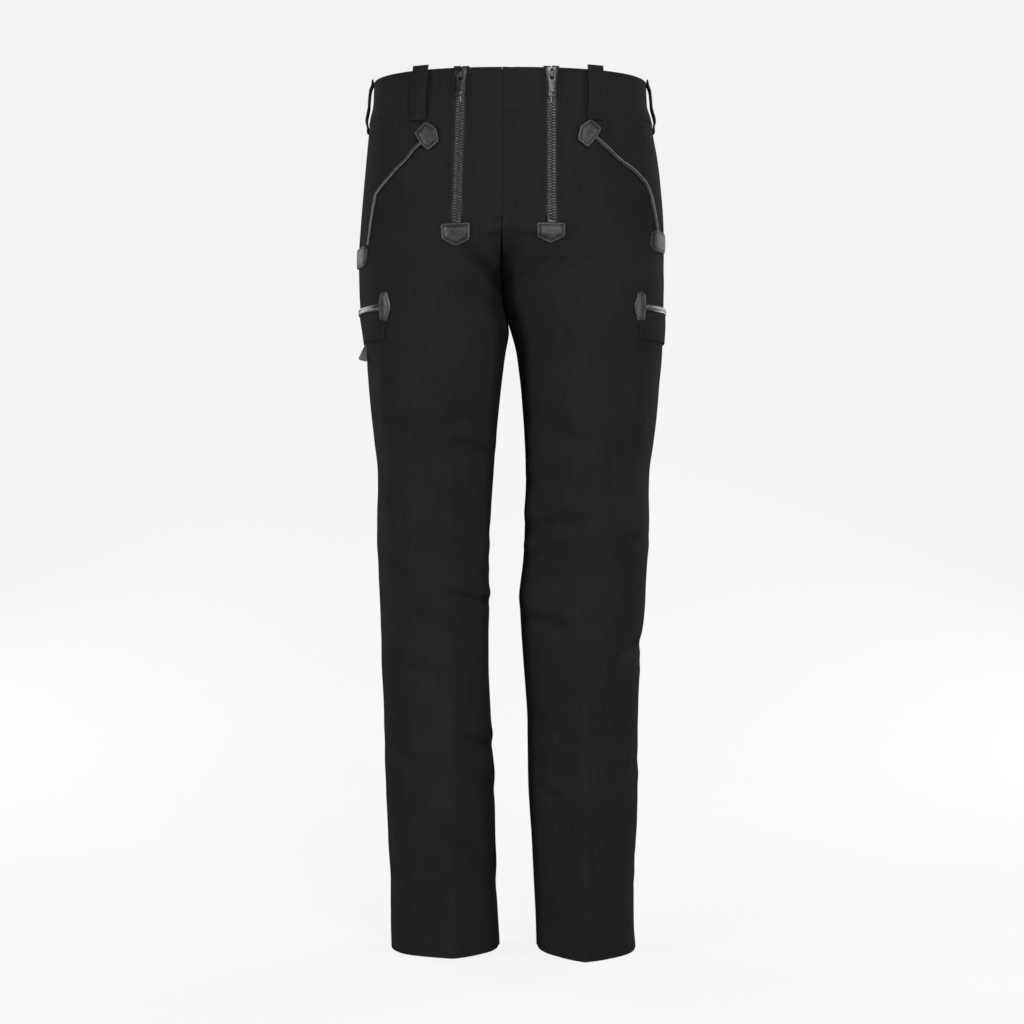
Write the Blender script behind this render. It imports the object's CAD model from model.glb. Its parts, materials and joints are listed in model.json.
"""Black moleskin trousers whose front flap opens on two zips.

They stand on their hems at z = 0 with the waist up +Z. The front faces -Y and the wearer's
right leg is at -X. Lengths are millimetres, turned into metres as each mesh is made; the
studio at the end is in metres.

A place on the cloth is given by its height z and its turn round the leg: 0 at the inseam or
the centre front, 0.5 near the outer side, 1 back at the inseam or the centre back.
"""

import json
import math
from collections import namedtuple

import bpy
import numpy as np
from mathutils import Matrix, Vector

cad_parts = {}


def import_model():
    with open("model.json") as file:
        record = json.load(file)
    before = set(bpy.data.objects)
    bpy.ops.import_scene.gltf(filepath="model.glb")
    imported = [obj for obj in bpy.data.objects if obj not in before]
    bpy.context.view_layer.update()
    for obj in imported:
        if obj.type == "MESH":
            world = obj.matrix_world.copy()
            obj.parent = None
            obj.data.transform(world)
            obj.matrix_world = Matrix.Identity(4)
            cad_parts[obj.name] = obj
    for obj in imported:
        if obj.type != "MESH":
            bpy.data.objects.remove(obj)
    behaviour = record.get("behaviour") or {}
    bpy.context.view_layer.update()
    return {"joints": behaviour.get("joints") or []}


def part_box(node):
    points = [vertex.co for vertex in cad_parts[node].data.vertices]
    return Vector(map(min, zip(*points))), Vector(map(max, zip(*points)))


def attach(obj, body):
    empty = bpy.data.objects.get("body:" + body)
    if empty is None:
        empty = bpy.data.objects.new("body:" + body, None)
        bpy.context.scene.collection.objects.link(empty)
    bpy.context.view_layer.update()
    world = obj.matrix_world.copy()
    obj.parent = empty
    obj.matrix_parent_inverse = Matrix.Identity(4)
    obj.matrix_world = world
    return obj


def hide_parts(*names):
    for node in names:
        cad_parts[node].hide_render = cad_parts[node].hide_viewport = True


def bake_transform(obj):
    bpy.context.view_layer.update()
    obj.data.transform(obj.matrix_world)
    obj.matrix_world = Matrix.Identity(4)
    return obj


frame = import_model()

# ---------------------------------------------------------------- driving sizes
MM = 0.001
JOINTS = {joint["name"]: joint for joint in frame["joints"]}
RIGHT, LEFT = SIDES = (-1, 1)               # also the sign of x on that side
SIDE_NAME = {RIGHT: "right", LEFT: "left"}


def z_span(node):
    """Lowest and highest z of a CAD piece."""
    return [float(corner[2]) for corner in np.array(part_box(node)) * 1000.0]


BAND_Z, TOP_Z = z_span("waistband_right")
GRADE = TOP_Z / 1045.0                      # the tables are drawn for a side 1045 long
FOLD_Z = z_span("flap_panel_right")[0] - 0.3    # the open flap folds down here

DEPTH_MID_Y = -6.0                          # y between the front and the back depths
CROTCH_Z = 795.0 * GRADE
JOIN_HEIGHT = 64.0 * GRADE                  # legs merge into the hips over this height
LEG_POWER, HIP_POWER = 2.15, 2.3            # superellipse powers of the cross-sections

CLOTH_THICK = 1.6
SEAM_GAP = 0.25                             # each panel stops this far from its seam
BAND_GAP = 0.05                             # panels stop this far below the waistband
SLIT_Z = 843.0 * GRADE                      # the cloth is slit along each zip from here up
SLOT = 6.3                                  # half the gap between the cloth edges at a zip
ZIP_X = {RIGHT: -64.8, LEFT: 46.3}          # x of the zip line at the fold
ZIP_LEAN = {RIGHT: 5.4, LEFT: 0.0}          # x gained between the fold and the top
TAPE_DEPTH = 2.3                            # depth of the zip tape behind the cloth face
SLIDER_LENGTH = 18.0
SLIDER_UP = TOP_Z + 1 - SLIDER_LENGTH - (FOLD_Z + 3.2)  # slider foot above the zip's start
PULL_UP = 9                                 # pull hinge above the slider foot
PULL_OUT = 3.6                              # pull hinge in front of the zip's own plane

# ---------------------------------------------------------------- body tables
# Each row is [nominal height, value]. Outer and inner edges are x, positive outwards.
OUTER_EDGE = {
    RIGHT: [
        [0, 146.5], [90, 147.6], [187, 152.5], [284, 156.2], [382, 159.8], [431, 162.3],
        [480, 164.7], [577, 164.7], [626, 168.4], [675, 173.2], [724, 176.5], [748, 180.5],
        [785, 184], [833, 185.4], [882, 182], [931, 178.3], [980, 174], [1004, 171.8],
        [1012, 168], [1045, 167]],
    LEFT: [
        [0, 151.3], [40, 148.8], [89, 148.8], [138, 151.3], [187, 152.5], [284, 153.7],
        [333, 154.9], [358, 152], [382, 158], [431, 161], [480, 164.7], [528, 167.1],
        [577, 168.4], [626, 172], [675, 177], [724, 180.6], [748, 183], [785, 184.2],
        [833, 184.2], [882, 183], [931, 179.3], [955, 175.7], [980, 171.5], [1004, 168.5],
        [1012, 163.5], [1045, 162.3]]}
INNER_EDGE = {
    RIGHT: [
        [0, 14.6], [40, 17.1], [89, 19.5], [187, 20.7], [284, 25.6], [333, 28], [382, 28],
        [431, 26.8], [480, 28], [528, 25.6], [577, 22], [626, 18.3], [675, 13.4], [724, 7.3],
        [738, 3.4], [750, 2.4], [768, 9.0], [785, 12.2], [800, 13.0], [860, 13.2]],
    LEFT: [
        [0, 29.3], [40, 28.1], [89, 25.6], [138, 23.2], [187, 19.5], [284, 18.3], [333, 14.6],
        [382, 11], [431, 8.5], [455, 12.2], [480, 14.6], [577, 17.1], [626, 14.6], [675, 11],
        [724, 4.9], [738, 0.4], [750, -3.0], [768, -9.6], [785, -12.8], [800, -12.8],
        [860, -12.4]]}
FRONT_DEPTH = {
    RIGHT: [[0, 78], [419, 86], [577, 95], [700, 103], [748, 107], [795, 113], [862, 121],
            [1045, 108]],
    LEFT: [[0, 94], [419, 92], [577, 97], [700, 104], [748, 107], [795, 113], [862, 121],
           [1045, 108]]}
BACK_DEPTH = [
    [0, 84], [419, 80], [577, 92], [700, 106], [748, 113], [795, 125], [850, 134], [900, 134],
    [960, 126], [1010, 116], [1045, 113]]
# turn of the side seam
SIDE_SEAM = {
    RIGHT: [[0, 0.468], [120, 0.472], [300, 0.49], [560, 0.488], [650, 0.478], [748, 0.466],
            [800, 0.478], [900, 0.475], [985, 0.492], [1045, 0.5]],
    LEFT: [[0, 0.462], [60, 0.474], [200, 0.492], [500, 0.493], [600, 0.484], [680, 0.462],
           [735, 0.438], [785, 0.448], [880, 0.47], [985, 0.488], [1045, 0.5]]}
# x of the centre front seam
CENTRE_SEAM = [[795, -12.8], [862, -12], [885, -11.7], [1045, -11.7]]

# Outlines below are [x, nominal height].
# Mouth of the hip pocket from its top down, x positive outwards.
POCKET_MOUTH = {
    RIGHT: [[104, 960], [134, 931.6], [160, 902.6], [163.3, 885.4], [170.5, 843]],
    LEFT: [[94, 966], [118.8, 945.6], [157.5, 914.7], [164.1, 900.5], [172.1, 861.4]]}
# Leather tab at the top of the hip pocket, x in the frame.
TOP_TAB = {
    RIGHT: [[-100.7, 981.3], [-112.2, 969.2], [-105.4, 955.8], [-97, 947.6], [-84.5, 958.1],
            [-87.8, 973.3], [-93.7, 978.2]],
    LEFT: [[91.1, 984.3], [79.2, 975.9], [76.1, 960.3], [87.4, 951], [99, 965.5],
           [103, 974.9]]}
# Leather tab at the foot of the zip, x in the frame.
ZIP_TAB = {
    RIGHT: [[-48.9, 861.2], [-82.2, 861.2], [-81.8, 844], [-66, 836.1], [-49.4, 843.6]],
    LEFT: [[61.3, 861.6], [29.5, 861.6], [30.2, 846.6], [44.9, 839.2], [61, 847.2]]}
# Leather tab at each end of the rule pocket, x positive outwards.
RULE_TAB = [[146.5, 784.3], [153.5, 783], [155.3, 767.5], [154, 752.5], [146, 750.7],
            [142, 767.5]]
# Lower hip pocket tab: [distance round from the side seam, height from its middle].
LOW_TAB = [[-41, -8], [-41, 8.5], [-29, 13.5], [2, 11], [7, 0], [2, -12], [-33, -12.5]]
LOW_TAB_Z = {RIGHT: 830.5 * GRADE, LEFT: 848.5 * GRADE}

# Folds are (start (x, z), end (x, z), half width, height, share of the partner beside it).
FOLD_GAIN = 1.45
FRONT_FOLDS = {
    RIGHT: [
        ((-72, 607), (-28, 596), 7.5, -3.0, 0.7), ((-80, 628), (-30, 640), 10, -1.8, 0.8),
        ((-95, 500), (-30, 455), 11, -2.8, 0.8), ((-76, 478), (-26, 441), 7, -2.4, 0.7),
        ((-72, 428), (-24, 417), 5.5, -3.6, 0.9), ((-110, 395), (-40, 384), 12, -1.4, 0.8),
        ((-131, 350), (-88, 330), 9, -1.3, 0.8), ((-66, 262), (-18, 240), 7, -3.0, 0.9),
        ((-60, 225), (-16, 184), 8, -2.4, 0.8), ((-47, 128), (-16, 66), 7, -2.6, 0.8),
        ((-100, 150), (-60, 118), 12, -1.2, 0.8), ((-92, 862), (-18, 800), 9, -2.8, 0.8),
        ((-70, 838), (-12, 790), 7, -2.4, 0.8), ((-110, 830), (-30, 770), 14, -2.2, 0.9),
        ((-60, 790), (-8, 762), 8, -2.0, 0.8), ((-132, 948), (-78, 888), 10, -1.8, 0.9),
        ((-158, 640), (-110, 600), 14, -1.5, 0.9), ((-160, 470), (-120, 440), 10, -1.6, 0.9),
        ((-150, 250), (-112, 225), 9, -1.5, 0.9), ((-144, 92), (-110, 70), 9, -1.3, 0.9)],
    LEFT: [
        ((8, 500), (84, 512), 13, -4.2, 0.55), ((12, 470), (66, 486), 9, -3.2, 0.8),
        ((10, 424), (60, 432), 11, 2.4, 0.6), ((14, 400), (70, 388), 8, -2.6, 0.8),
        ((160, 498), (126, 484), 7, -2.8, 0.8), ((158, 372), (132, 352), 6, -3.8, 0.9),
        ((152, 352), (120, 336), 8, -2.2, 0.8), ((110, 760), (100, 560), 12, 1.6, 0.8),
        ((20, 640), (78, 610), 11, -2.0, 0.8), ((16, 560), (70, 566), 9, -1.8, 0.8),
        ((92, 864), (18, 800), 9, -2.6, 0.8), ((70, 836), (10, 788), 7, -2.2, 0.8),
        ((112, 826), (30, 768), 14, -2.0, 0.9), ((160, 974), (118, 938), 8, -1.7, 0.9),
        ((152, 950), (112, 918), 8, -1.3, 0.9), ((30, 280), (80, 250), 10, -2.0, 0.9),
        ((26, 200), (70, 178), 8, -1.6, 0.9), ((150, 230), (112, 205), 9, -1.6, 0.9),
        ((150, 110), (116, 92), 8, -1.4, 0.9), ((34, 120), (70, 96), 9, -1.4, 0.9)]}
# In the next two tables x is positive outwards.
BACK_FOLDS = [
    ((30, 782), (150, 742), 12, -3.4, 0.9), ((24, 752), (140, 706), 13, -2.6, 0.9),
    ((40, 500), (140, 486), 12, -3.6, 0.8), ((36, 470), (132, 448), 11, -3.0, 0.8),
    ((44, 530), (120, 534), 12, -2.0, 0.8), ((34, 180), (120, 150), 12, -2.0, 0.8),
    ((30, 880), (120, 842), 18, -2.4, 0.8)]
# small drag lines from the centre seam and the pocket tabs, drawn at nominal heights
DRAG_LINES = [
    ((x0, z0 * GRADE), (x1, z1 * GRADE), width, height, 0.9)
    for x0, z0, x1, z1, width, height in (
        (4, 880, 30, 872, 4.5, -1.6), (4, 866, 34, 856, 4.5, -2.0),
        (4, 850, 36, 842, 5, -1.8), (5, 900, 26, 896, 4, -1.1),
        (92, 930, 118, 916, 6, -1.3), (86, 918, 128, 884, 8, -1.5),
        (84, 905, 110, 862, 8, -1.3))]
# Uneven heavy cloth: (cells round the leg against the base lattice, cell height, rise)
UNEVEN_SEED = {RIGHT: 11, LEFT: 23}
UNEVEN_CELLS = 24.0
UNEVEN = ((0.28, 120, 2.2), (0.7, 55, 1.1), (1.6, 24, 0.35))
# Pressed front crease of the lower leg: x and height
PRESSED_X = {RIGHT: -70.0, LEFT: 86.0}
PRESSED_RISE = {RIGHT: 5.5, LEFT: 8.0}


# ---------------------------------------------------------------- small mathematics
def smoothstep(value, start, end):
    ratio = np.clip((np.asarray(value, float) - start) / (end - start), 0.0, 1.0)
    return ratio * ratio * (3 - 2 * ratio)


def bell(value, width):
    return np.exp(-(value / width) ** 2)


def unit(vectors):
    return vectors / np.maximum(np.linalg.norm(vectors, axis=-1, keepdims=True), 1e-9)


def smooth(values, window, **padding):
    """Running average of a row of values, weighted by a window of odd length."""
    padded = np.pad(values, len(window) // 2, **padding)
    return np.convolve(padded, window / window.sum(), mode="valid")


def run_length(points):
    """Distance from the first point along the path to each point."""
    gaps = np.linalg.norm(np.diff(points, axis=0), axis=1)
    return np.concatenate([[0], np.cumsum(gaps)])


def along_path(points, lengths, places):
    return np.stack([np.interp(places, lengths, column) for column in points.T], -1)


def swell(across, width):
    """0 at both sides of a piece, 1 in its middle."""
    return np.sin(np.pi * np.clip(across / width, 0, 1))


# ---------------------------------------------------------------- shape of the legs
PROFILE_Z = np.arange(-20.0, 1080.0, 1.0)


def soften(table, low_sigma=11.0, high_sigma=5.0):
    """Table smoothed over height, less so near the waist."""
    table = np.array(table, float)
    raw = np.interp(PROFILE_Z / GRADE, table[:, 0], table[:, 1])
    low, high = (
        smooth(raw, np.exp(-0.5 * (np.arange(-int(4 * sigma), int(4 * sigma) + 1) / sigma) ** 2),
               mode="edge")
        for sigma in (low_sigma, high_sigma))
    waist = smoothstep(PROFILE_Z, 930, 965)
    return low * (1 - waist) + high * waist


OUTER_PROFILE = {side: soften(OUTER_EDGE[side]) for side in SIDES}
INNER_PROFILE = {side: soften(INNER_EDGE[side], 8.0) for side in SIDES}
FRONT_PROFILE = {side: soften(FRONT_DEPTH[side], 14.0) for side in SIDES}
BACK_PROFILE = soften(BACK_DEPTH, 18.0)
SIDE_PROFILE = {side: soften(SIDE_SEAM[side], 14.0, 9.0) for side in SIDES}
CENTRE_PROFILE = soften(CENTRE_SEAM, 8.0)

TURN_COUNT = 801
TURNS = np.linspace(0, 1, TURN_COUNT)
ROW_STEP, ROW_LOW, ROW_HIGH = 2.0, -6.0, 1062.0
ROW_Z = np.arange(ROW_LOW, ROW_HIGH + 0.1, ROW_STEP)


def profile(values, z):
    return np.interp(z, PROFILE_Z, values)


def signed_power(value, power):
    return np.sign(value) * np.abs(value) ** power


def smooth_face(side):
    """Outer face of one half before folds: (rows, turns, 3)."""
    turn, z = TURNS[None, :], ROW_Z[:, None]
    outer, inner = profile(OUTER_PROFILE[side], z), profile(INNER_PROFILE[side], z)
    front, back = profile(FRONT_PROFILE[side], z), profile(BACK_PROFILE, z)
    # a leg goes once round its own superellipse
    angle = 2 * np.pi * turn
    depth = np.where(turn <= 0.5, -front, back)
    leg_x = (outer + inner) / 2 - (outer - inner) / 2 * signed_power(np.cos(angle), 2 / LEG_POWER)
    leg_y = depth * np.abs(np.sin(angle)) ** (2 / LEG_POWER)
    # the hips go half round one superellipse shared by both sides
    right, left = profile(OUTER_PROFILE[RIGHT], z), profile(OUTER_PROFILE[LEFT], z)
    radius, centre = (right + left) / 2, (left - right) / 2
    seam = side * (profile(CENTRE_PROFILE, z) - centre) / radius
    start = np.arcsin(signed_power(seam, HIP_POWER / 2))
    angle = np.where(turn <= 0.5,
                     start + (np.pi / 2 - start) * (2 * np.minimum(turn, 0.5)) ** 1.5,
                     np.pi - np.pi / 2 * (2 * np.clip(1 - turn, 0, 0.5)) ** 1.5)
    hip_x = centre + side * radius * signed_power(np.sin(angle), 2 / HIP_POWER)
    depth = np.where(angle <= np.pi / 2, -front, back)
    hip_y = depth * np.abs(np.cos(angle)) ** (2 / HIP_POWER)
    hip = 1 - (1 - np.clip((z - CROTCH_Z) / JOIN_HEIGHT, 0, 1)) ** 1.7
    x = (1 - hip) * side * leg_x + hip * hip_x
    y = (1 - hip) * leg_y + hip * hip_y + DEPTH_MID_Y
    return np.stack([x, y, np.broadcast_to(z, x.shape)], axis=-1)


def lattice(rng, columns, levels):
    """Smooth random field in [-1, 1], its places given in cells."""
    knots = rng.uniform(-1, 1, (int(columns.max()) + 3, int(levels.max()) + 3))
    i, j = np.floor(columns).astype(int), np.floor(levels).astype(int)
    right, up = (share * share * share * (share * (share * 6 - 15) + 10)
                 for share in (columns - i, levels - j))
    return ((knots[i, j] * (1 - right) + knots[i + 1, j] * right) * (1 - up)
            + (knots[i, j + 1] * (1 - right) + knots[i + 1, j + 1] * right) * up)


def crease(x, z, fold, fade=0.35):
    """A fold with a shallow opposite partner beside it, fading out at both ends."""
    start, end, width, height, partner = fold
    along_x, along_z = end[0] - start[0], end[1] - start[1]
    length = np.hypot(along_x, along_z)
    along = ((x - start[0]) * along_x + (z - start[1]) * along_z) / length ** 2
    across = ((x - start[0]) * -along_z + (z - start[1]) * along_x) / length
    ends = smoothstep(along, -fade, fade) * (1 - smoothstep(along, 1 - fade, 1 + fade))
    return height * ends * (bell(across, width)
                            - partner * bell(across - 1.7 * width, 1.3 * width))


def pressed(x, centre, hollow, hollow_at):
    """A sharp vertical ridge with a hollow on either side."""
    away = np.abs(x - centre)
    return np.exp(-away / 13.0) - hollow * bell(away - hollow_at, 20.0)


def displacement(side, base):
    """How far the worn cloth stands off its smooth face."""
    x, z = base[..., 0], base[..., 2]
    turn = np.broadcast_to(TURNS[None, :], x.shape)
    in_front = turn < 0.5
    rise = np.zeros(x.shape)
    front = 1 - 0.65 * smoothstep(turn, 0.5, 0.62)
    for fold in FRONT_FOLDS[side]:
        rise += FOLD_GAIN * front * crease(x, z, fold)
    # the outline keeps its own shape
    rise *= smoothstep(turn, 0.0, 0.08) * (1 - 0.75 * bell(turn - 0.5, 0.05))
    # slack in the back of the legs and under the seat
    back = smoothstep(turn, 0.52, 0.64)
    for fold in BACK_FOLDS:
        rise += back * crease(side * x, z, fold)
    # slow unevenness, gone at both ends of the turn so that the leg closes
    rng = np.random.default_rng(UNEVEN_SEED[side])
    cells = turn * UNEVEN_CELLS + 1
    seams = smoothstep(turn, 0.0, 0.06) * (1 - smoothstep(turn, 0.94, 1.0))
    body = 1 - 0.75 * smoothstep(z, 850, 930)
    rise += seams * body * sum(height * lattice(rng, cells * share, (z + 40) / cell)
                               for share, cell, height in UNEVEN)
    # zips stay straight, and creases run out before the waistband and the hem
    near_zip = bell(x - ZIP_X[side], 22.0) * (z > 820) * in_front * smoothstep(z, 815, 845)
    rise *= 1 - 0.9 * near_zip
    rise *= 1 - 0.85 * smoothstep(z, 955, 990)
    rise *= 1 - 0.5 * (1 - smoothstep(z, 0, 22))
    rise = np.where((z > CROTCH_Z) & (turn < 0.04), rise * smoothstep(turn, 0, 0.04), rise)
    # centre front seam: a groove, its turned-under edge, and the step where that edge ends
    centre = in_front * smoothstep(z, CROTCH_Z - 4, CROTCH_Z + 20)
    away = np.abs(x)
    step = 0.8 if side == LEFT else 0.3
    rise += centre * (-1.5 * bell(away, 2.6) + 0.5 * bell(away - 7.0, 3.6)
                      - step * bell(away - 12.5, 2.0))
    for line in DRAG_LINES:
        rise += in_front * crease(side * x, z, line)
    # pressed creases down the front and the back of the legs
    height = (PRESSED_RISE[side] * (1 - smoothstep(z, 80, 430))
              + 2.2 * (1 - smoothstep(z, 430, 720)))
    rise += np.where(in_front, height * pressed(x, PRESSED_X[side], 0.42, 36), 0)
    height = 2.2 * (1 - smoothstep(z, 300, 640))
    rise += np.where(turn > 0.5, height * pressed(x, side * 80.0, 0.4, 34), 0)
    return rise


def grid_normals(points, side):
    normals = unit(np.cross(np.gradient(points, axis=1), np.gradient(points, axis=0)))
    # checked on the outer side, a third of the way up
    if normals[points.shape[0] // 3, TURN_COUNT // 2, 0] * side < 0:
        normals = -normals
    return normals


class Half:
    """Cloth face of one half of the trousers, looked up by turn and height."""

    def __init__(self, side):
        self.side = side
        self.base = smooth_face(side)
        # folds push mostly sideways
        push = grid_normals(self.base, side)
        push[..., 2] *= 0.35
        self.points = self.base + unit(push) * displacement(side, self.base)[..., None]
        self.normals = grid_normals(self.points, side)
        gaps = np.linalg.norm(np.diff(self.points, axis=1), axis=-1)
        self.arcs = np.concatenate([np.zeros((len(ROW_Z), 1)), np.cumsum(gaps, axis=1)], axis=1)

    def sample(self, grid, turn, z):
        level = np.clip((np.asarray(z, float) - ROW_LOW) / ROW_STEP, 0, len(ROW_Z) - 1.001)
        column = np.clip(np.asarray(turn, float) * (TURN_COUNT - 1), 0, TURN_COUNT - 1.001)
        i, j = level.astype(int), column.astype(int)
        up, on = level - i, column - j
        if grid.ndim == 3:
            up, on = up[..., None], on[..., None]
        return ((grid[i, j] * (1 - up) + grid[i + 1, j] * up) * (1 - on)
                + (grid[i, j + 1] * (1 - up) + grid[i + 1, j + 1] * up) * on)

    def normal(self, turn, z):
        return unit(self.sample(self.normals, turn, z))

    def at(self, turn, z, out=0.0):
        """Points that stand out from the cloth face by out."""
        turn, z, out = np.broadcast_arrays(*(np.asarray(a, float) for a in (turn, z, out)))
        return self.sample(self.points, turn, z) + self.normal(turn, z) * out[..., None]

    def arc(self, turn, z):
        """Distance along the cloth from turn 0."""
        return self.sample(self.arcs, turn, z)

    def row(self, grid, z):
        level = min(max((z - ROW_LOW) / ROW_STEP, 0), len(ROW_Z) - 1.001)
        i = int(level)
        return grid[i] * (1 - (level - i)) + grid[i + 1] * (level - i)

    def turn_at(self, x, z, back=False):
        """Turn of a place seen from the front or the back."""
        x, z = np.broadcast_arrays(np.asarray(x, float), np.asarray(z, float))
        turns = np.empty(x.shape)
        middle = (TURN_COUNT - 1) // 2
        for k in np.ndindex(x.shape):
            outward = self.side * self.row(self.base[..., 0], z[k])
            if back:
                turns[k] = np.interp(self.side * x[k], outward[middle:][::-1],
                                     TURNS[middle:][::-1])
            else:
                turns[k] = np.interp(self.side * x[k], outward[:middle + 1],
                                     TURNS[:middle + 1])
        return turns if turns.ndim else float(turns)

    def step(self, turn, z, distance):
        """Turn moved by a distance along the cloth."""
        turn, z, distance = np.broadcast_arrays(
            *(np.asarray(a, float) for a in (turn, z, distance)))
        turns = np.empty(turn.shape)
        for k in np.ndindex(turn.shape):
            arcs = self.row(self.arcs, z[k])
            turns[k] = np.interp(np.interp(turn[k], TURNS, arcs) + distance[k], arcs, TURNS)
        return turns if turns.ndim else float(turns)

    def grid(self, heights, start, across):
        """Turns and heights of the places across[j] past arc start[j] on every row."""
        turns = np.empty(across.shape)
        for j, z in enumerate(heights):
            turns[j] = np.interp(start[j] + across[j], self.row(self.arcs, z), TURNS)
        return turns, np.broadcast_to(heights[:, None], turns.shape)


HALF = {side: Half(side) for side in SIDES}


def side_turn(side, z):
    return profile(SIDE_PROFILE[side], np.asarray(z, float))


def zip_x(side, z):
    return ZIP_X[side] + ZIP_LEAN[side] * (np.asarray(z, float) - FOLD_Z) / (TOP_Z - FOLD_Z)


def zip_turn(side, z, outward=0.0):
    """Turn of the zip line, or of a line beside it on the outer side."""
    return HALF[side].turn_at(zip_x(side, z) + side * outward, z)


def mouth_turn(side, z):
    """Turn of the hip pocket's mouth."""
    points = np.array(POCKET_MOUTH[side][::-1], float)
    x = np.interp(np.asarray(z, float) / GRADE, points[:, 1], points[:, 0])
    return HALF[side].turn_at(side * x, z)


def mouth_foot(side):
    return POCKET_MOUTH[side][-1][1] * GRADE


# ---------------------------------------------------------------- materials
class Nodes:
    """A node tree with short calls for the nodes used here."""

    def __init__(self, tree):
        self.tree = tree

    def node(self, kind, **settings):
        node = self.tree.nodes.new("ShaderNode" + kind)
        for name, value in settings.items():
            setattr(node, name, value)
        return node

    def feed(self, socket, value):
        if isinstance(value, bpy.types.NodeSocket):
            self.tree.links.new(value, socket)
        else:
            socket.default_value = value

    def coords(self, scale=(1000.0, 1000.0, 1000.0), uv=True):
        """Cloth UV or object coordinates; a scale of 1000 gives millimetres."""
        if uv:
            source = self.node("UVMap", uv_map="cloth").outputs[0]
        else:
            source = self.node("TexCoord").outputs["Object"]
        mapping = self.node("Mapping")
        mapping.inputs["Scale"].default_value = scale
        self.feed(mapping.inputs["Vector"], source)
        return mapping.outputs[0]

    def split(self, vector):
        separate = self.node("SeparateXYZ")
        self.feed(separate.inputs[0], vector)
        return separate.outputs[0], separate.outputs[1]

    def noise(self, vector, scale, detail=2.0, rough=0.5, output="Fac"):
        node = self.node("TexNoise")
        node.inputs["Scale"].default_value = scale
        node.inputs["Detail"].default_value = detail
        node.inputs["Roughness"].default_value = rough
        self.feed(node.inputs["Vector"], vector)
        return node.outputs[output]

    def ramp(self, value, start, end, low=0.0, high=1.0):
        node = self.node("ValToRGB")
        for stop, place, level in zip(node.color_ramp.elements, (start, end), (low, high)):
            stop.position = place
            stop.color = (level, level, level, 1)
        self.feed(node.inputs[0], value)
        return node.outputs[0]

    def math(self, operation, *values):
        node = self.node("Math", operation=operation)
        for socket, value in zip(node.inputs, values):
            self.feed(socket, value)
        return node.outputs[0]

    def mix(self, factor, first, second):
        node = self.node("Mix", data_type="RGBA")
        for index, value in ((0, factor), (6, first), (7, second)):
            self.feed(node.inputs[index], (*value, 1) if isinstance(value, tuple) else value)
        return node.outputs[2]

    def bump(self, height, strength, distance, below=None):
        node = self.node("Bump")
        node.inputs["Strength"].default_value = strength
        node.inputs["Distance"].default_value = distance
        self.feed(node.inputs["Height"], height)
        if below is not None:
            self.feed(node.inputs["Normal"], below)
        return node.outputs[0]

    def edge_wear(self, noise, start, end, low):
        """The mesh's edge attribute, broken up by noise."""
        edge = self.node("Attribute", attribute_name="edge").outputs["Fac"]
        return self.math("MULTIPLY", edge, self.ramp(noise, start, end, low=low))


class Material(Nodes):
    """A new material with one principled surface."""

    def __init__(self, name):
        self.data = bpy.data.materials.new(name)
        self.data.use_nodes = True
        super().__init__(self.data.node_tree)
        self.tree.nodes.clear()
        output = self.node("OutputMaterial")
        self.principled = self.node("BsdfPrincipled")
        self.feed(output.inputs[0], self.principled.outputs[0])

    def finish(self, inputs):
        for name, value in inputs.items():
            self.feed(self.principled.inputs[name], value)
        return self.data


def cloth_material(name, dark, light, worn, twill=1.0, nap=1.0, sheen=0.02, rough=0.9):
    mat = Material(name)
    vector = mat.coords()
    across, up = mat.split(vector)
    # twill lines, with yarns across them
    diagonal = mat.math("ADD", mat.math("MULTIPLY", across, 5.2), mat.math("MULTIPLY", up, 4.6))
    lines = mat.math("SINE", diagonal)
    yarn = mat.math("SINE", mat.math("MULTIPLY", across, 12.6))
    weave = mat.math("MULTIPLY_ADD", yarn, 0.35, lines)
    # patches, streaks drawn out along the leg, flecks and brushed nap
    patches = mat.noise(vector, scale=0.012, detail=3.0, rough=0.55)
    streaks = mat.noise(mat.coords((1000.0, 150.0, 1000.0)), scale=0.16, detail=4.0, rough=0.6)
    flecks = mat.noise(vector, scale=1.4, detail=3.0, rough=0.65)
    brushed = mat.noise(mat.coords((1000.0, 260.0, 1000.0)), scale=0.9, detail=4.0, rough=0.7)
    tone = mat.math("MULTIPLY_ADD", streaks, 0.45, mat.math("MULTIPLY", patches, 0.55))
    colour = mat.mix(mat.ramp(tone, 0.36, 0.64), dark, light)
    flecks = mat.ramp(flecks, 0.55, 0.80)
    colour = mat.mix(mat.math("MULTIPLY", flecks, 0.35), colour, worn)
    # the nap rubs off a little along edges and seams
    wear = mat.edge_wear(mat.noise(vector, scale=0.22, detail=3.0), 0.38, 0.68, low=0.15)
    colour = mat.mix(mat.math("MULTIPLY", wear, 0.55), colour, worn)
    normal = mat.bump(weave, strength=0.30 * twill, distance=0.00010)
    normal = mat.bump(brushed, strength=0.55 * nap, distance=0.00045, below=normal)
    normal = mat.bump(streaks, strength=0.22, distance=0.0009, below=normal)
    return mat.finish({
        "Base Color": colour,
        "Roughness": mat.math("MULTIPLY_ADD", streaks, 0.12, rough - 0.06),
        "Specular IOR Level": 0.04,
        "Sheen Weight": sheen,
        "Sheen Roughness": 0.45,
        "Sheen Tint": (0.6, 0.6, 0.62, 1),
        "Normal": normal})


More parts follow.
